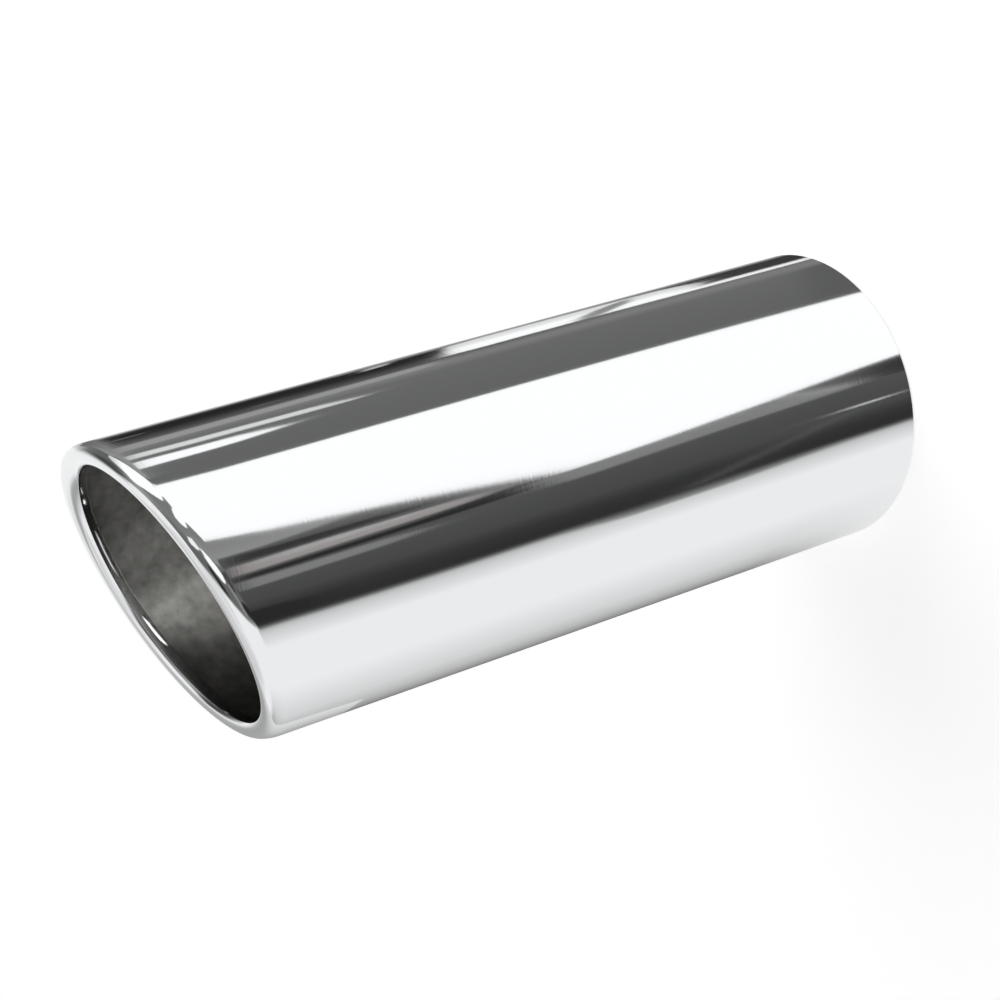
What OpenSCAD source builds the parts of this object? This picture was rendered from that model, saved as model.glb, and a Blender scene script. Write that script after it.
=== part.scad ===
// Slash-cut exhaust tip: one polished steel tube, square at the rear and cut on a slant at the
// mouth, whose edge is rolled inwards into a smooth lip. It stands on its square rear end with
// +Z along the gas flow, and the long side of the mouth faces +X. Millimetres.

/* [Tube] */
// Outside diameter of the tube
tube_d = 76; // [60:1:102]
// Thickness of the sheet that the tube and its lip are made from
wall = 1.5; // [1:0.1:2]
// Length along the longest side, from the rear end to the top of the lip
overall_length = 216.8; // [150:0.1:300]

/* [Mouth] */
// Slant of the mouth against a square cut, in degrees
slash_angle = 22; // [5:1:35]

/* [Rolled lip] */
// Outside radius of the gentle bend that leads from the straight wall into the lip
lead_r = 10.8; // [9:0.1:13]
// How far the sheet leans in after the gentle bend, for every 24 mm that it rises
lead_lean = 7; // [7, 10]
// Outside radius of the tight roll over the top of the lip
roll_r = 2.55; // [2.3:0.05:3.5]
// Straight return of the sheet behind the roll, down inside the mouth
return_len = 2; // [1:0.1:2.2]

/* [Rear end] */
// Width of the broken edges at the square rear end
edge_break = 0.3; // [0.1:0.1:0.5]

/* [Hidden] */
$fn = 128;

tube_r = tube_d / 2;
bore_r = tube_r - wall;
// Rise over which the lean is measured. A lean of 7 or 10 has a whole diagonal with it, 25 or 26,
// so the sine and cosine of the bend come out exact and the rings of the lip meet face to face
lean_rise = 24;
// Angle that the gentle bend turns through, 16.26 degrees for a lean of 7 in 24
lead_angle = atan2(lead_lean, lean_rise);
// Centre of the tight roll in the lip's section, across and above the end of the straight wall
roll_x = tube_r - lead_r + (lead_r - roll_r) * cos(lead_angle);
roll_z = (lead_r - roll_r) * sin(lead_angle);
// Rise of the slanted mouth for each millimetre along +X
slope = tan(slash_angle);
// Height on the axis of the slanted plane where the straight wall ends and the lip starts
lip_start = overall_length - slope * roll_x - roll_z - roll_r / cos(slash_angle);
// Cutting shapes run past what they cut by this much
past = 1;

// One bend of the sheet in the lip's section, turning to the left. The sheet comes up along +Y
// with its outer face on the Y axis, and the children carry on where the bend ends.
module bend(outer_r, turn) {
    reach = 2 * outer_r;
    translate([-outer_r, 0]) {
        intersection() {
            difference() {
                circle(outer_r);
                circle(outer_r - wall);
            }
            translate([-reach, 0])
                square([2 * reach, reach]);
            rotate(turn)
                translate([-reach, -reach])
                    square([2 * reach, reach]);
        }
        rotate(turn)
            translate([outer_r, 0])
                children();
    }
}

// Section of the lip, standing on the plane where the straight wall ends: a gentle lead-in bend,
// a tight roll over the crest until the sheet points back down, and a short straight return
module lip_section() {
    translate([tube_r, 0])
        bend(lead_r, lead_angle)
            bend(roll_r, 180 - lead_angle)
                translate([-wall, 0])
                    square([wall, return_len]);
}

// Slides its children up along +Z in step with X, onto the slanted plane where the lip starts.
// Anything round about the Z axis keeps its outline seen along that axis.
module on_slant() {
    multmatrix([
        [1, 0, 0, 0],
        [0, 1, 0, 0],
        [slope, 0, 1, lip_start],
        [0, 0, 0, 1],
    ])
        children();
}

// The section turned about the axis and slid onto the slant, so that the whole lip follows the
// slanted mouth while its outside stays on the tube's own cylinder
module rolled_lip() {
    on_slant()
        rotate_extrude()
            lip_section();
}

// Everything above the slanted plane where the lip starts
module above_slant() {
    reach = 3 * tube_r;
    on_slant()
        translate([-reach / 2, -reach / 2, 0])
            cube(reach);
}

// Straight wall with a square rear end, its two rear edges broken, cut off on the slant
module straight_wall() {
    difference() {
        cylinder(r = tube_r, h = overall_length);
        translate([0, 0, -past])
            cylinder(r = bore_r, h = overall_length + 2 * past);
        above_slant();
        // Broken outer edge
        difference() {
            translate([0, 0, -past])
                cylinder(r = tube_r + past, h = past + edge_break);
            translate([0, 0, -past])
                cylinder(r1 = tube_r - edge_break - past, r2 = tube_r, h = past + edge_break);
        }
        // Broken inner edge
        translate([0, 0, -past])
            cylinder(r1 = bore_r + edge_break + past, r2 = bore_r, h = past + edge_break);
    }
}

module tip_tube() {
    color("silver")
        union() {
            straight_wall();
            rolled_lip();
        }
}

tip_tube();
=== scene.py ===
"""Slash-cut exhaust tip: a stainless tube polished to a mirror, with a lip rolled inwards round its
slanted mouth. It stands on a pale floor, in a studio of cards that the mirror shows."""
import math
import bpy
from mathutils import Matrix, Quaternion, Vector


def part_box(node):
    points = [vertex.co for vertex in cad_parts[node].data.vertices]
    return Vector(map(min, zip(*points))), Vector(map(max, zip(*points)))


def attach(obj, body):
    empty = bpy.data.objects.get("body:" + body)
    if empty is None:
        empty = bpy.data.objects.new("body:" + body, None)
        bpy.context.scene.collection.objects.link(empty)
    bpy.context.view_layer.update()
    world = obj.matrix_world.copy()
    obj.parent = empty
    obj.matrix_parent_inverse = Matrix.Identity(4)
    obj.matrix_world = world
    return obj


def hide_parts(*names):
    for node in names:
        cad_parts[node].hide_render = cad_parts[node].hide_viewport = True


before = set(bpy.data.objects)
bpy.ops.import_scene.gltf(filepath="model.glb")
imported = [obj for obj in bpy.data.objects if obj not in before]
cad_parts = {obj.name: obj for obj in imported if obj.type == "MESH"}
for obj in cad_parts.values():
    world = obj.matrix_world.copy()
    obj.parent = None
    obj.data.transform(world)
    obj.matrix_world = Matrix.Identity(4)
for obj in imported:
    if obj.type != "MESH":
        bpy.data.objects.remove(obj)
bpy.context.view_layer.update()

MM = 0.001

# The tube's sizes, in millimetres. The outside radius and the length come from the CAD node, and
# the others are those of the part's source. RAW_EDGE_R rounds the cut edge of the lip's return.
LOW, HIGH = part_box("tip_tube")
TUBE_R = (HIGH.x - LOW.x) / 2 / MM
LENGTH = (HIGH.z - LOW.z) / MM
WALL = 1.5
SLANT = math.radians(22)
EDGE_BREAK = 0.3
RAW_EDGE_R = 0.2

# The lip's section: a gentle bend of LEAD_R, after which the sheet leans in by LEAD_LEAN for every
# LEAN_RISE that it rises, then a tight roll of ROLL_R, and a straight return
LEAD_R = 10.8
LEAD_LEAN = 7
LEAN_RISE = 24
LEAD_TURN = math.atan2(LEAD_LEAN, LEAN_RISE)
ROLL_R = 2.55
RETURN_LEN = 2.0
# Centre of the tight roll: its distance from the axis, and its height over the straight wall's end
ROLL_X = TUBE_R - LEAD_R + (LEAD_R - ROLL_R) * math.cos(LEAD_TURN)
ROLL_Z = (LEAD_R - ROLL_R) * math.sin(LEAD_TURN)
# Rise of the slanted mouth for each millimetre along +X, and where the lip starts on the axis
SLOPE = math.tan(SLANT)
LIP_START = LENGTH - SLOPE * ROLL_X - ROLL_Z - ROLL_R / math.cos(SLANT)

# Mesh steps: columns round the tube, and rows along each stretch of the section
COLUMNS = 512
WALL_ROWS = 14
LEAD_ROWS = 8
ROLL_ROWS = 36
RETURN_ROWS = 3
CORNER_ROWS = 3
# Edges of the mesh that turn by more than this are shown sharp
SHARP_ANGLE = math.radians(35)


def arc(cx, cz, radius, start, end, steps):
    """Points of an arc of the lip's section, as (radius from the axis, share of the slant, height)."""
    turns = [start + (end - start) * i / steps for i in range(steps + 1)]
    return [(cx + radius * math.cos(a), 1.0, cz + radius * math.sin(a)) for a in turns]


def wall_line(radius, start, end, steps):
    """Points of a straight wall: the share of the slant grows from 0 at the rear end to 1 at the lip."""
    shares = [start + (end - start) * i / steps for i in range(steps + 1)]
    return [(radius, s, EDGE_BREAK * (1 - s)) for s in shares]


def sheet_section():
    """The whole sheet in section, as one closed loop of points: up the outside, over the lip and down
    the inside. The second value says how many of them, from the first one on, are polished."""
    inner_r = TUBE_R - WALL
    return_in = ROLL_X - ROLL_R
    return_out = return_in + WALL
    straight = RETURN_LEN - RAW_EDGE_R
    corner_z = ROLL_Z - RETURN_LEN + RAW_EDGE_R
    quarter = math.pi / 2
    rows = [(TUBE_R - EDGE_BREAK, 0.0, 0.0)]
    rows += wall_line(TUBE_R, 0, 1, WALL_ROWS)
    rows += arc(TUBE_R - LEAD_R, 0, LEAD_R, 0, LEAD_TURN, LEAD_ROWS)[1:]
    rows += arc(ROLL_X, ROLL_Z, ROLL_R, LEAD_TURN, math.pi, ROLL_ROWS)[1:]
    rows += [(return_in, 1.0, ROLL_Z - straight * i / RETURN_ROWS) for i in range(1, RETURN_ROWS)]
    polished = len(rows)
    rows += arc(return_in + RAW_EDGE_R, corner_z, RAW_EDGE_R, 2 * quarter, 3 * quarter, CORNER_ROWS)
    rows += arc(return_out - RAW_EDGE_R, corner_z, RAW_EDGE_R, 3 * quarter, 4 * quarter, CORNER_ROWS)
    rows += arc(ROLL_X, ROLL_Z, ROLL_R - WALL, math.pi, LEAD_TURN, ROLL_ROWS)
    rows += arc(TUBE_R - LEAD_R, 0, LEAD_R - WALL, LEAD_TURN, 0, LEAD_ROWS)[1:]
    rows += wall_line(inner_r, 1, 0, WALL_ROWS)[1:]
    rows += [(inner_r + EDGE_BREAK, 0.0, 0.0)]
    return rows, polished


def on_tube(row, angle):
    """A section point turned to an angle about the axis and lifted onto the slant, in metres."""
    radius, share, height = row
    x = radius * math.cos(angle)
    y = radius * math.sin(angle)
    z = share * (LIP_START + SLOPE * x) + height
    return (x * MM, y * MM, z * MM)


def build_tube(polished_steel, unpolished_steel):
    """The tube as one closed mesh of quads, column by column."""
    rows, polished = sheet_section()
    count = len(rows)
    verts = [on_tube(row, 2 * math.pi * c / COLUMNS) for c in range(COLUMNS) for row in rows]
    faces = []
    for c in range(COLUMNS):
        here, there = c * count, (c + 1) % COLUMNS * count
        for i in range(count):
            j = (i + 1) % count
            faces.append((here + i, there + i, there + j, here + j))
    mesh = bpy.data.meshes.new("tip_tube_polished")
    mesh.from_pydata(verts, [], faces)
    mesh.materials.append(polished_steel)
    mesh.materials.append(unpolished_steel)
    finishes = [0 if i < polished else 1 for i in range(count)]
    mesh.polygons.foreach_set("material_index", finishes * COLUMNS)
    mesh.shade_smooth()
    mesh.set_sharp_from_angle(angle=SHARP_ANGLE)
    tube = bpy.data.objects.new("tip_tube_polished", mesh)
    bpy.context.collection.objects.link(tube)
    return tube


def linear(channel):
    """One sRGB channel, 0 to 1, turned into the linear value that a shader takes. The numbers are
    those of the sRGB curve."""
    return channel / 12.92 if channel <= 0.04045 else ((channel + 0.055) / 1.055) ** 2.4


def srgb(hex_code):
    """A "#RRGGBB" colour turned into linear values."""
    return (*[linear(int(hex_code[i:i + 2], 16) / 255) for i in (1, 3, 5)], 1.0)


def add_node(tree, kind, settings=None, links=None):
    """Adds a node with its settings. Its inputs are given values, or other nodes' outputs."""
    node = tree.nodes.new(kind)
    for name, value in (settings or {}).items():
        setattr(node, name, value)
    for name, value in (links or {}).items():
        if isinstance(value, bpy.types.NodeSocket):
            tree.links.new(value, node.inputs[name])
        else:
            node.inputs[name].default_value = value
    return node


def new_material(name):
    """An empty material with its node tree and output."""
    material = bpy.data.materials.new(name)
    material.use_nodes = True
    tree = material.node_tree
    tree.nodes.clear()
    output = add_node(tree, "ShaderNodeOutputMaterial")
    return material, tree, output


def around_the_tube(tree):
    """Coordinates that follow the sheet, in millimetres: the arc round the tube, and the height."""
    place = add_node(tree, "ShaderNodeTexCoord").outputs["Object"]
    axes = add_node(tree, "ShaderNodeSeparateXYZ", links={0: place}).outputs
    turn = add_node(tree, "ShaderNodeMath", {"operation": "ARCTAN2"}, {0: axes["Y"], 1: axes["X"]})
    arc_mm = add_node(tree, "ShaderNodeMath", {"operation": "MULTIPLY"}, {0: turn.outputs[0], 1: TUBE_R})
    height_mm = add_node(tree, "ShaderNodeMath", {"operation": "DIVIDE"}, {0: axes["Z"], 1: MM})
    along = {"X": arc_mm.outputs[0], "Z": height_mm.outputs[0]}
    return add_node(tree, "ShaderNodeCombineXYZ", links=along).outputs[0]


# The polished steel: its colour, and how blurred it shows the room
POLISHED_STEEL = "#EAEBEC"
POLISH_ROUGHNESS = 0.065
# How far one polishing line runs round the tube, its width and its depth. Real lines of a felt wheel
# are some 0.01 mm wide, too fine to show, so they are drawn 0.6 mm wide. Only a small share of the
# depth is used, because the eye sees them only where a bright edge runs across them.
POLISH_LINE_MM = 30
POLISH_LINE_WIDTH_MM = 0.6
POLISH_LINE_DEPTH_MM = 0.1
POLISH_LINE_SHARE = 0.02


def stainless_sheet_mirror_polished():
    """Stainless sheet, buffed to a mirror on a wheel. It shows the room sharply, and faint lines run
    round it."""
    material, tree, output = new_material("stainless_sheet_mirror_polished")
    place = around_the_tube(tree)
    stretched = add_node(tree, "ShaderNodeVectorMath", {"operation": "MULTIPLY"}, {
        0: place,
        1: (1 / POLISH_LINE_MM, 1, 1 / POLISH_LINE_WIDTH_MM),
    })
    lines = add_node(tree, "ShaderNodeTexNoise", links={
        "Vector": stretched.outputs[0],
        "Scale": 1.0,
        "Detail": 2.0,
    })
    relief = add_node(tree, "ShaderNodeBump", links={
        "Strength": POLISH_LINE_SHARE,
        "Distance": POLISH_LINE_DEPTH_MM * MM,
        "Height": lines.outputs["Fac"],
    })
    shader = add_node(tree, "ShaderNodeBsdfPrincipled", links={
        "Base Color": srgb(POLISHED_STEEL),
        "Metallic": 1.0,
        "Roughness": POLISH_ROUGHNESS,
        "Normal": relief.outputs[0],
    })
    tree.links.new(shader.outputs[0], output.inputs["Surface"])
    return material


# The unpolished steel is uneven: clouds of CLOUD_MM change how dull it is, and smudges of SMUDGE_MM
# how dark it is. Both its greys are set far darker than the polished steel: that is painted shade, the
# dimness deep inside the tube, while the smudges between the two greys are random tone. Nearly all
# values of a noise node lie in NOISE_RANGE.
CLOUD_MM = 25 / 3
SMUDGE_MM = 10 / 3
NOISE_RANGE = (0.3, 0.7)
MILL_ROUGHNESS = (0.46, 0.56)
SHADED_MILL_DARK = "#4D4C4A"
SHADED_MILL_LIGHT = "#A5A4A0"
# A quarter of a turn between the tangent round the tube and the streak that each light draws on it
STREAK_TURN = 0.25
# The sockets of a Mix node that take its two colours, and the one that gives the mixed colour
MIX_FIRST, MIX_SECOND, MIXED = 6, 7, 2


def stainless_sheet_mill_finish_painted_shade():
    """Stainless sheet as it came from the rollers, never polished. Its fine scratches run round the tube,
    so each light shows as a soft streak along it. Its colour is painted dark, as shade inside the tube,
    with random smudges in it."""
    material, tree, output = new_material("stainless_sheet_mill_finish_painted_shade")
    place = around_the_tube(tree)
    clouds = add_node(tree, "ShaderNodeTexNoise", links={
        "Vector": place,
        "Scale": 1 / CLOUD_MM,
        "Detail": 3.0,
    })
    roughness = add_node(tree, "ShaderNodeMapRange", links={
        "Value": clouds.outputs["Fac"],
        "From Min": NOISE_RANGE[0],
        "From Max": NOISE_RANGE[1],
        "To Min": MILL_ROUGHNESS[0],
        "To Max": MILL_ROUGHNESS[1],
    })
    smudges = add_node(tree, "ShaderNodeTexNoise", links={
        "Vector": place,
        "Scale": 1 / SMUDGE_MM,
        "Detail": 4.0,
    })
    # Painted shade: both greys are far darker than the steel's own colour, with random smudges between them
    grey = add_node(tree, "ShaderNodeMix", {"data_type": "RGBA"}, {
        "Factor": smudges.outputs["Fac"],
        MIX_FIRST: srgb(SHADED_MILL_DARK),
        MIX_SECOND: srgb(SHADED_MILL_LIGHT),
    })
    round_the_tube = add_node(tree, "ShaderNodeTangent", {"direction_type": "RADIAL", "axis": "Z"})
    shader = add_node(tree, "ShaderNodeBsdfPrincipled", links={
        "Base Color": grey.outputs[MIXED],
        "Metallic": 1.0,
        "Roughness": roughness.outputs[0],
        "Anisotropic": 1.0,
        "Anisotropic Rotation": STREAK_TURN,
        "Tangent": round_the_tube.outputs[0],
    })
    tree.links.new(shader.outputs[0], output.inputs["Surface"])
    return material


# The studio that the mirror shows: far cards, cloths and lamps all round, and three near cards. Their
# places are compass directions from a middle in the tube, in degrees of azimuth and elevation, and
# their tones are the greys that they have in the polished steel, from 0 to 255. BRIGHT is a lamp's.
STUDIO_MIDDLE = Vector((0, 0, 0.11))
BRIGHT = 254
# How far off the far cards hang, in metres. Each layer of them hangs nearer by this share of it than
# the layer behind it.
FAR = 20.0
LAYER_GAP = 0.01
# The widest step between a card's points, in degrees, and up a near card in metres
CARD_STEP = 1.25
CARD_RISE = 0.02


def direction(azimuth, elevation):
    """The unit vector towards a compass direction: azimuth 0 is -Y, azimuth 90 is +X."""
    a, e = math.radians(azimuth), math.radians(elevation)
    return Vector((math.sin(a) * math.cos(e), -math.cos(a) * math.cos(e), math.sin(e)))


def between(stops, place):
    """The value at a place along (place, value) stops, on a straight line between two of them."""
    if place <= stops[0][0]:
        return stops[0][1]
    for (low, first), (high, last) in zip(stops, stops[1:]):
        if place <= high:
            return first + (last - first) * (place - low) / (high - low)
    return stops[-1][1]


def finer(places, step):
    """A rising list of places with more put between them, none further apart than a step."""
    result = [places[0]]
    for low, high in zip(places, places[1:]):
        parts = max(1, math.ceil((high - low) / step))
        result += [low + (high - low) * i / parts for i in range(1, parts + 1)]
    return result


def seen(tone):
    """The glow of a card that has this tone, 0 to 255, in the polished steel."""
    return linear(tone / 255) / srgb(POLISHED_STEEL)[0]


def studio_shader():
    """Glows as each card's own colour says."""
    material, tree, output = new_material("studio_card")
    glow = add_node(tree, "ShaderNodeAttribute", {"attribute_name": "glow"})
    shader = add_node(tree, "ShaderNodeEmission", links={"Color": glow.outputs["Color"], "Strength": 1.0})
    tree.links.new(shader.outputs[0], output.inputs["Surface"])
    return material


def only_in_reflections(piece):
    """Keeps a studio piece out of the camera's sight and off the floor: only the metal shows it."""
    piece.visible_camera = False
    piece.visible_diffuse = False
    piece.visible_shadow = False


def hang_mesh(name, points, across, glows, material):
    """A card as a grid of points, each row of the same length, with a glow at every point."""
    faces = []
    for start in range(0, len(points) - across, across):
        for i in range(start, start + across - 1):
            faces.append((i, i + 1, i + across + 1, i + across))
    mesh = bpy.data.meshes.new(name)
    mesh.from_pydata(points, [], faces)
    colours = mesh.attributes.new("glow", "FLOAT_COLOR", "POINT")
    for i, glow in enumerate(glows):
        colours.data[i].color = (*glow, 1.0)
    mesh.materials.append(material)
    card = bpy.data.objects.new(name, mesh)
    bpy.context.collection.objects.link(card)
    only_in_reflections(card)


def far_card(material, layer, name, edges, tones, lift=((0, 0),), tint=(1, 1, 1),
             middle=STUDIO_MIDDLE, reach=FAR):
    """A card on a sphere round the middle, a reach away. Its edges are (elevation, first azimuth, last
    azimuth) rows from the bottom up. Its tones are one number, or (azimuth, tone) stops across the
    bottom row that stretch with the edges. Lift is (elevation, share) stops of how far the tones go
    towards white."""
    firsts = [(row[0], row[1]) for row in edges]
    lasts = [(row[0], row[2]) for row in edges]
    stops = tones if isinstance(tones, list) else [(0, tones)]
    columns = max(1, math.ceil(max(row[2] - row[1] for row in edges) / CARD_STEP))
    points, glows = [], []
    for elevation in finer([row[0] for row in edges], CARD_STEP):
        first, last = between(firsts, elevation), between(lasts, elevation)
        for i in range(columns + 1):
            share = i / columns
            heading = direction(first + (last - first) * share, elevation)
            points.append(middle + heading * reach * (1 - LAYER_GAP * layer))
            glow = seen(between(stops, edges[0][1] + (edges[0][2] - edges[0][1]) * share))
            glow += (1 - glow) * between(lift, elevation)
            glows.append([glow * t for t in tint])
    hang_mesh(name, points, columns + 1, glows, material)


# A pale ceiling, the dark room behind the camera, which fades to pale at both sides, and the upper
# room over it, whose top fades too
CEILING_EDGES = [(25, -120, 4), (45, -130, 8), (88, -130, 8)]
CEILING_TONE = 216
ROOM_EDGES = [(-80, -24, 214), (-34, -24, 214), (-30.5, -22.4, 214), (-24, -22.4, 214)]
ROOM_TONES = [(-24, 235), (-13, 205), (-9.3, 186), (-7, 85), (-5, 44), (4, 52), (12, 71), (60, 91),
              (148, 103), (156, 122), (161, 116), (166, 78), (177, 38), (188, 34), (191, 108),
              (201, 188), (212, 235)]
# The part of the room that shows in the lip
LIP_ROOM_EDGES = [(-27, -8, 216), (-24, -7, 204), (-20, -6, 198), (-12, -4, 192), (-4, 2, 192), (0, 5, 192),
                  (5, 9, 194), (9, 12, 196)]
LIP_ROOM_TONES = [(-8, 212), (-4, 130), (0, 100), (30, 95), (60, 122), (100, 115), (150, 95), (175, 95),
                  (190, 108), (202, 165), (216, 234)]
UPPER_EDGES = [(6, 5, 200), (30, 5, 206), (58, 5, 206)]
UPPER_TONES = [(5, 234), (16, 158), (23, 108), (30, 95), (66, 106), (104, 148), (118, 137), (131, 88),
               (138, 74), (158, 67), (171, 108), (184, 190), (200, 234)]
UPPER_LIFT = [(48, 0), (58, 0.7)]

# What hangs in front of them: the name, the edges and the tones of each, from the darkest up
CLOTHS = [
    ("cloth_low_left", [(-28, -5, 10), (-24, 0, 14), (-21, 2, 13), (-18.5, 5, 9)], 42),
    ("cloth_low_right", [(-26, 30, 37), (-22, 20, 36), (-18, 20, 34)], 68),
    ("cloth_high", [(-2, 10, 22), (0, 13, 34), (4, 15, 36), (7, 18, 30)], 40),
    ("cloth_seam", [(-36.3, 30, 36.5), (-35, 29.5, 34.8), (-34, 29.3, 32.2), (-29, 28.8, 31.2)], 36),
    ("cloth_fold", [(-34, 41, 42), (-33, 40.8, 44), (-29, 40.8, 46)], 50),
    ("cloth_edge", [(-31.4, -2, 4), (-30, -3.4, 7), (-26, -4, 8)], 40),
    ("cloth_corner", [(-43.6, 173.5, 190), (-40, 174.5, 189)], 55),
    ("cloth_side", [(-33, 189, 193), (-28, 188.5, 194)], 62),
    ("cloth_foot", [(-46, 31, 44), (-43.2, 32, 43.4)], 46),
]
GREYS = [
    ("shelf", [(-28, 118, 204), (-24, 120, 192), (-20, 146, 188), (-17, 150, 160)],
     [(118, 148), (160, 132), (190, 106), (204, 104)]),
    ("chair", [(-43, 31.5, 32.5), (-42.5, 31.2, 34), (-40.6, 30.3, 39.5), (-39, 29, 38), (-37, 27, 36),
               (-36.4, 29, 34.5), (-36, 32.5, 33.5)], 126),
    ("chair_rim", [(-42.9, 32, 33.5), (-42.5, 33, 36), (-41.6, 37.5, 40), (-41.1, 40, 42)], 165),
    ("stand", [(-33.2, 52, 53), (-32, 49, 56), (-30.5, 47, 58), (-28, 47, 60), (-24, 40, 62), (-12, 44, 62),
               (-7, 54, 62)], [(52, 140), (53, 124)]),
    ("door", [(-33.8, 24.5, 25.5), (-33, 23, 27.5), (-29, 22, 28)], 124),
    ("side_wall", [(-35, 157, 163), (-28, 155, 163)], 146),
    ("bright_post", [(-33.8, 37.3, 38.7), (-31.5, 36.6, 39.6), (-29.6, 37.2, 39)], 176),
    ("notch", [(-42.8, -8, -5), (-40, -11.5, -5), (-37.8, -12, -5), (-36.3, -8, -5)],
     [(-8, 148), (-5, 44)]),
    ("low_corner", [(-44.5, 104, 152), (-42.6, 107, 150)], 90),
    ("ledge", [(-18, 3, 18), (-16, 0, 26), (-13, 4, 24)], 134),
    ("tape", [(-43, 13.5, 16), (-39.2, -6, -3.5)], 88),
    ("knob_left", [(-31.8, 169.4, 170.8), (-31.2, 169.4, 170.8)], 100),
    ("knob_right", [(-28.9, 177, 179), (-28.1, 177, 179)], 100),
]
LIGHTS = [
    ("soft_box", [(-80, 50, 104), (-44, 45.5, 105), (-43, 43.6, 106.1), (-41, 39.8, 107.8),
                  (-40, 38.3, 108.5), (-38.5, 36, 109.1), (-36.8, 34.3, 109.6), (-36.4, 36.8, 109.7),
                  (-36, 38.6, 109.8), (-35.3, 41.6, 109.9), (-34.8, 43.6, 109.9), (-33.4, 48.7, 110.1),
                  (-32.3, 52.2, 110.1), (-30.5, 57.5, 110.2), (-28.5, 61, 111), (-26, 68, 113),
                  (-22, 75, 99), (-20, 74, 87), (-16, 69, 85), (-12, 68, 81), (-8, 71, 76)], BRIGHT),
    ("round_lamp", [(-24, 99, 114), (-22, 98, 122), (-19, 97, 138), (-16, 93, 150), (-12, 92, 147),
                    (-8, 95, 141), (-4, 98, 134), (0, 103, 129), (4, 105, 124), (8, 106, 120),
                    (12, 108, 118), (17, 110, 116)], [(99, BRIGHT), (110, BRIGHT), (114, 195)]),
    ("strip_lamp_broad", [(-31.8, 133, 134), (-30.7, 130.4, 137.4), (-28, 130, 138.3)], BRIGHT),
    ("strip_lamp_narrow", [(-33.4, 141.2, 142.4), (-32.4, 141.4, 146), (-28, 142.5, 148)], 215),
    ("window", [(-43, 163.5, 169), (-40.6, 164.5, 170), (-39.7, 165, 188), (-38.5, 166, 190),
                (-37, 166.4, 191.5), (-36, 166.4, 191.5), (-35.3, 167.5, 190)],
     [(163.5, 248), (165.5, 248), (166.5, 225), (167.6, 215), (169, 205)]),
    ("low_lamp", [(-16, 32, 38), (-14, 27, 44), (-10, 24, 50), (-7, 25, 51), (-5, 29, 44),
                  (-3, 33, 44)], 250),
    ("small_lamp", [(-6, 50, 58), (-2, 48, 59), (2, 48, 58), (5, 50, 55), (8, 51, 53)], 238),
    ("bulb", [(-43.4, 15.4, 16.8), (-42.7, 15.4, 16.8)], 232),
    ("bright_edge", [(-34.1, 184, 190), (-33.6, 183, 189)], 175),
]
# A box of warm grey, and the bar across the window
WARM_EDGES = [(-35.2, 35.2, 37), (-34.6, 34.2, 38.6), (-29, 32.6, 39.2)]
WARM_TONE = 148
WARM_TINT = (1.04, 0.97, 0.95)
WINDOW_BAR_EDGES = [(-39.15, 178, 186), (-38.85, 172, 185), (-38.35, 165, 178), (-38.05, 165, 172)]
WINDOW_BAR_TONE = 125


def hang_far_cards(material):
    """Everything that the steel shows from further away, in layers that hang one before the other."""
    far_card(material, 0, "ceiling", CEILING_EDGES, CEILING_TONE)
    far_card(material, 1, "dark_room", ROOM_EDGES, ROOM_TONES)
    far_card(material, 1, "upper_room", UPPER_EDGES, UPPER_TONES, lift=UPPER_LIFT)
    far_card(material, 2, "lip_room", LIP_ROOM_EDGES, LIP_ROOM_TONES)
    for layer, cards in ((3, CLOTHS), (4, GREYS), (5, LIGHTS)):
        for name, edges, tones in cards:
            far_card(material, layer, name, edges, tones)
    far_card(material, 4, "warm_box", WARM_EDGES, WARM_TONE, tint=WARM_TINT)
    far_card(material, 6, "window_bar", WINDOW_BAR_EDGES, WINDOW_BAR_TONE)


# The near cards stand upright on a circle round the tube. Their greys are painted shade in the
# mirror, in place of the ground that lies in the tube's shadow close beside it. Each has a name, the
# circle's radius in metres, (azimuth, tone) stops across it, (height in metres, share) stops up it of
# how much of that tone there is in place of white, and its lean: (height, degrees) stops of how far
# its first edge is moved along, while its last edge stays.
NEAR_CARDS = [
    ("shade_card_low", 0.3,
     [(-153, 235), (-146, 230), (-142.5, 212), (-136, 112), (-133, 95), (-125, 122), (-101, 181),
      (-85, 207), (-53, 234)],
     [(-0.29, 0), (-0.25, 0.3), (-0.2, 1), (0.18, 1), (0.225, 0)],
     [(0.06, 0), (0.12, 22), (0.18, 28)]),
    ("shade_card_close", 0.12,
     [(208, 235), (216, 212), (228, 202), (300, 206), (340, 228)],
     [(0.225, 0), (0.25, 1), (0.4, 1), (0.6, 0)],
     [(0, 0)]),
]

# A curved card beyond the low end of the lip: that end's place, and how far from it the card is, in
# metres. Its greys are painted shade on that end of the lip. Its top fades to white.
LOW_END = Vector((-0.0335, -0.003, 0.185))
LOW_END_REACH = 0.07
LOW_END_EDGES = [(-50, 196, 282), (15, 196, 282), (45, 186, 272), (66, 176, 262)]
LOW_END_TONES = [(196, 235), (206, 218), (214, 194), (221, 168), (235, 156), (250, 162), (265, 192),
                 (282, 216)]
LOW_END_LIFT = [(50, 0), (66, 1)]


def near_card(material, name, radius, across, up, lean):
    """A near card, as a row of NEAR_CARDS says."""
    azimuths = finer([stop[0] for stop in across], CARD_STEP)
    points, glows = [], []
    for height in finer([stop[0] for stop in up], CARD_RISE):
        for azimuth in azimuths:
            left = (azimuths[-1] - azimuth) / (azimuths[-1] - azimuths[0])
            foot = direction(azimuth + between(lean, height) * left, 0) * radius
            points.append((foot.x, foot.y, height))
            glow = 1 - (1 - seen(between(across, azimuth))) * between(up, height)
            glows.append((glow, glow, glow))
    hang_mesh(name, points, len(azimuths), glows, material)


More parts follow.
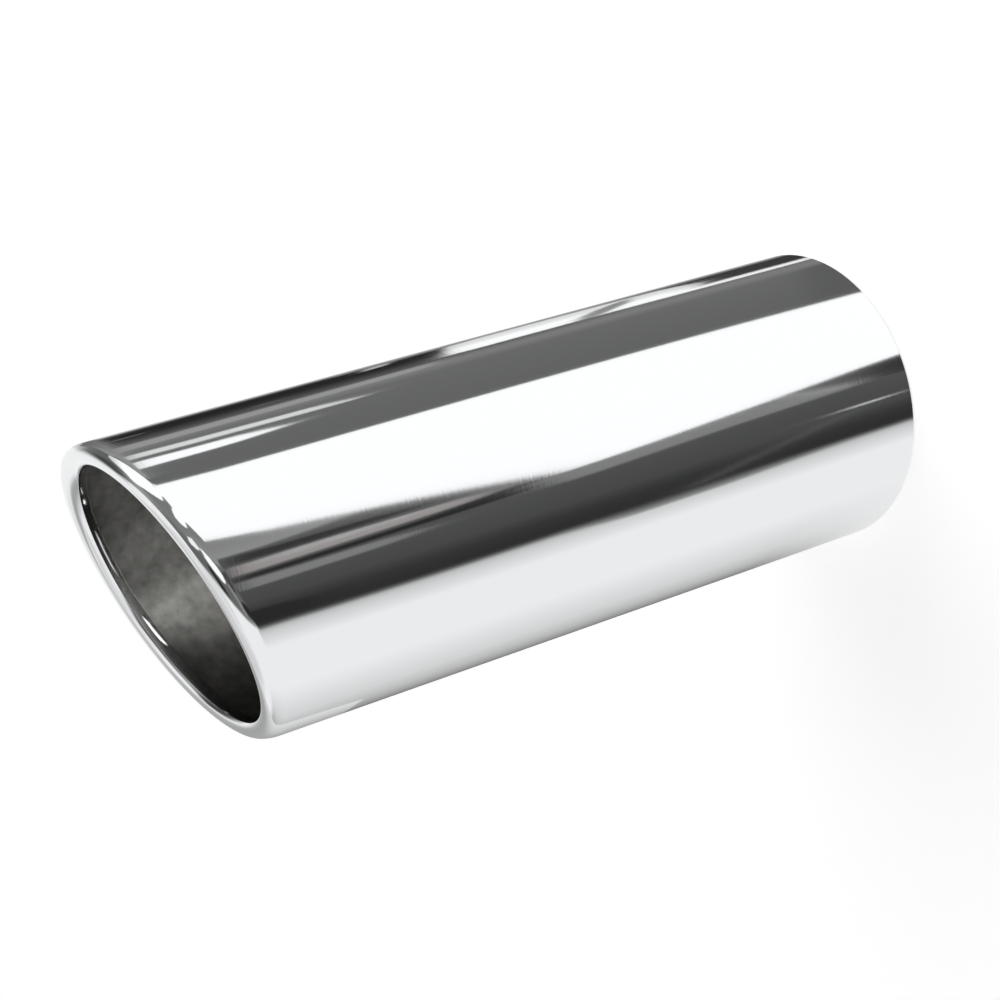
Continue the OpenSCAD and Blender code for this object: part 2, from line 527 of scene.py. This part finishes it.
def hang_near_cards(material):
    """The cards close to the tube. Seen only in the mirror, their greys paint shade onto its lower
    silhouette and the low end of the lip.
    """
    far_card(material, 0, "shade_card_low_end", LOW_END_EDGES, LOW_END_TONES, lift=LOW_END_LIFT,
             middle=LOW_END, reach=LOW_END_REACH)
    for row in NEAR_CARDS:
        near_card(material, *row)


# Two small lamps hang inside the tube, out of sight below the mouth, and draw the streaks along the
# unpolished inside. Each has a name, a place (x, y) and a half width in millimetres, and a glow. They
# hang level, this high in metres.
MOUTH_LAMPS = [("mouth_lamp_main", 2.8, 2.3, 7, 19), ("mouth_lamp_side", -15, -4, 7, 6)]
MOUTH_LAMP_HEIGHT = 0.149

# Slips of pale card close to the lip's return, which draw the bright dashes along it. Each has a
# name, the glow of its middle, and four corners in millimetres, the upper two first. The glow fades
# to SLIP_EDGE_GLOW at its edges, over a grid of these shares along it and down it.
SLIPS = [
    ("slip_middle", 2.6,
     [(-17.1, 21.7, 188.9), (-21.9, 17.3, 186.0), (-17.1, 21.7, 187.9), (-21.9, 17.3, 184.8)]),
    ("slip_high", 0.9,
     [(-1.8, 28.5, 197.2), (-11.3, 25.3, 192.0), (-1.8, 28.5, 196.5), (-11.3, 25.3, 191.3)]),
]
SLIP_EDGE_GLOW = 0.03
SLIP_ALONG = (0, 0.25, 0.5, 0.75, 1)
SLIP_DOWN = (0, 0.5, 1)


def hang_mouth_lamps(material):
    """The small lamps inside the tube, as square cards."""
    for name, x, y, half, glow in MOUTH_LAMPS:
        corners = [(x + i * half, y + j * half) for j in (-1, 1) for i in (-1, 1)]
        points = [(u * MM, v * MM, MOUTH_LAMP_HEIGHT) for u, v in corners]
        hang_mesh(name, points, 2, [(glow, glow, glow)] * len(points), material)


def hang_slips(material):
    """The slips of pale card, each brightest in its middle."""
    for name, middle_glow, corners in SLIPS:
        top_left, top_right, low_left, low_right = [Vector(c) * MM for c in corners]
        points, glows = [], []
        for down in SLIP_DOWN:
            for along in SLIP_ALONG:
                high = top_left.lerp(top_right, along)
                low = low_left.lerp(low_right, along)
                points.append(high.lerp(low, down))
                inside = 0 < down < 1 and 0 < along < 1
                glow = middle_glow if inside else SLIP_EDGE_GLOW
                glows.append((glow, glow, glow))
        hang_mesh(name, points, len(SLIP_ALONG), glows, material)


# The floor: its width, how far it lies under the tube's rear end, and how far from the tube it keeps
# the shadow, all in metres. From SHADOW_FADE on, the shadow fades. The glow lifts its pale colour
# nearly to white.
FLOOR_SIZE = 60.0
FLOOR_DROP = 0.0002
SHADOW_REACH = 0.45
SHADOW_FADE = 0.4 * SHADOW_REACH
FLOOR_PALE = "#F2F2F1"
FLOOR_GLOW = 0.72
PURE_WHITE = "#FFFFFF"


def lay_floor():
    """A plain pale floor that keeps the tube's shadow near it and is plain white further off."""
    material, tree, output = new_material("pale_paper_floor")
    place = add_node(tree, "ShaderNodeTexCoord").outputs["Object"]
    away = add_node(tree, "ShaderNodeVectorMath", {"operation": "LENGTH"}, {0: place}).outputs["Value"]
    far = add_node(tree, "ShaderNodeMapRange", {"interpolation_type": "SMOOTHSTEP"}, {
        "Value": away,
        "From Min": SHADOW_FADE,
        "From Max": SHADOW_REACH,
    })
    paper = add_node(tree, "ShaderNodeBsdfDiffuse", links={"Color": srgb(FLOOR_PALE)})
    lift = add_node(tree, "ShaderNodeEmission", links={"Color": srgb(PURE_WHITE), "Strength": FLOOR_GLOW})
    near = add_node(tree, "ShaderNodeAddShader", links={0: paper.outputs[0], 1: lift.outputs[0]})
    plain = add_node(tree, "ShaderNodeEmission", links={"Color": srgb(PURE_WHITE), "Strength": 1.0})
    both = add_node(tree, "ShaderNodeMixShader", links={
        0: far.outputs[0],
        1: near.outputs[0],
        2: plain.outputs[0],
    })
    tree.links.new(both.outputs[0], output.inputs["Surface"])
    half = FLOOR_SIZE / 2
    corners = [(-half, -half, 0), (half, -half, 0), (half, half, 0), (-half, half, 0)]
    mesh = bpy.data.meshes.new("floor")
    mesh.from_pydata(corners, [], [(0, 1, 2, 3)])
    mesh.materials.append(material)
    floor = bpy.data.objects.new("floor", mesh)
    floor.location.z = -FLOOR_DROP
    # The mirror shows the studio instead, as it did where the real tube was held up clear of the ground
    floor.visible_glossy = False
    bpy.context.collection.objects.link(floor)


# The one lamp: its place and its width in metres, and its strength
LAMP_PLACE = (0.5, 0.4, 1.2)
LAMP_SIZE = 0.9
LAMP_WATTS = 6.0


def hang_lamp():
    """A soft square lamp that looks at the tube's foot. It lights the floor; the metal shows the cards."""
    data = bpy.data.lights.new("soft_key", "AREA")
    data.size = LAMP_SIZE
    data.energy = LAMP_WATTS
    lamp = bpy.data.objects.new("soft_key", data)
    lamp.location = LAMP_PLACE
    lamp.rotation_mode = "QUATERNION"
    lamp.rotation_quaternion = (-Vector(LAMP_PLACE)).to_track_quat("-Z", "Y")
    lamp.visible_glossy = False
    bpy.context.collection.objects.link(lamp)


# How strongly the world lights the floor. The eye and the metal see it at 1, which is white.
WORLD_LIGHT = 0.12


def make_world():
    """White to the eye and in the metal, and a soft even light on the rest."""
    world = bpy.data.worlds.new("white_studio")
    world.use_nodes = True
    tree = world.node_tree
    tree.nodes.clear()
    path = add_node(tree, "ShaderNodeLightPath").outputs
    shown = path["Is Camera Ray"]
    for ray in ("Is Glossy Ray", "Is Transmission Ray"):
        either = add_node(tree, "ShaderNodeMath", {"operation": "MAXIMUM"}, {0: shown, 1: path[ray]})
        shown = either.outputs[0]
    strength = add_node(tree, "ShaderNodeMapRange", links={
        "Value": shown,
        "To Min": WORLD_LIGHT,
        "To Max": 1.0,
    })
    sky = add_node(tree, "ShaderNodeBackground", links={
        "Color": srgb(PURE_WHITE),
        "Strength": strength.outputs[0],
    })
    output = add_node(tree, "ShaderNodeOutputWorld")
    tree.links.new(sky.outputs[0], output.inputs["Surface"])
    bpy.context.scene.world = world


# The camera, from the photo's outlines of the tube. Its lens and sensor, the place that it looks at
# and its distance from that are in millimetres, its direction and roll in degrees, and the nearest
# and furthest that it sees in metres. The roll lays the upright tube on its side, as in the photo.
CAMERA_LENS = 105.73
CAMERA_SENSOR = 36
CAMERA_AIM = (-1.49, -1.03, 105.61)
CAMERA_DISTANCE = 713.6
CAMERA_AZIMUTH = 34.657
CAMERA_ELEVATION = 35.542
CAMERA_ROLL = 107.348
CAMERA_NEAREST = 0.01
CAMERA_FURTHEST = 100


def make_camera():
    """The camera at the photo's viewing angle."""
    data = bpy.data.cameras.new("camera")
    data.lens = CAMERA_LENS
    data.sensor_width = CAMERA_SENSOR
    data.clip_start = CAMERA_NEAREST
    data.clip_end = CAMERA_FURTHEST
    camera = bpy.data.objects.new("camera", data)
    bpy.context.collection.objects.link(camera)
    back = direction(CAMERA_AZIMUTH, CAMERA_ELEVATION)
    camera.location = (Vector(CAMERA_AIM) + back * CAMERA_DISTANCE) * MM
    camera.rotation_mode = "QUATERNION"
    level = (-back).to_track_quat("-Z", "Y")
    camera.rotation_quaternion = level @ Quaternion((0, 0, 1), -math.radians(CAMERA_ROLL))
    bpy.context.scene.camera = camera


def build_scene():
    """The tube on its CAD body, and the floor, the studio, the light and the camera round it."""
    tube = build_tube(stainless_sheet_mirror_polished(), stainless_sheet_mill_finish_painted_shade())
    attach(tube, "root")
    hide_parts("tip_tube")
    lay_floor()
    card = studio_shader()
    hang_far_cards(card)
    hang_near_cards(card)
    hang_mouth_lamps(card)
    hang_slips(card)
    hang_lamp()
    make_world()
    make_camera()
    bpy.context.scene.view_settings.view_transform = "Standard"


build_scene()
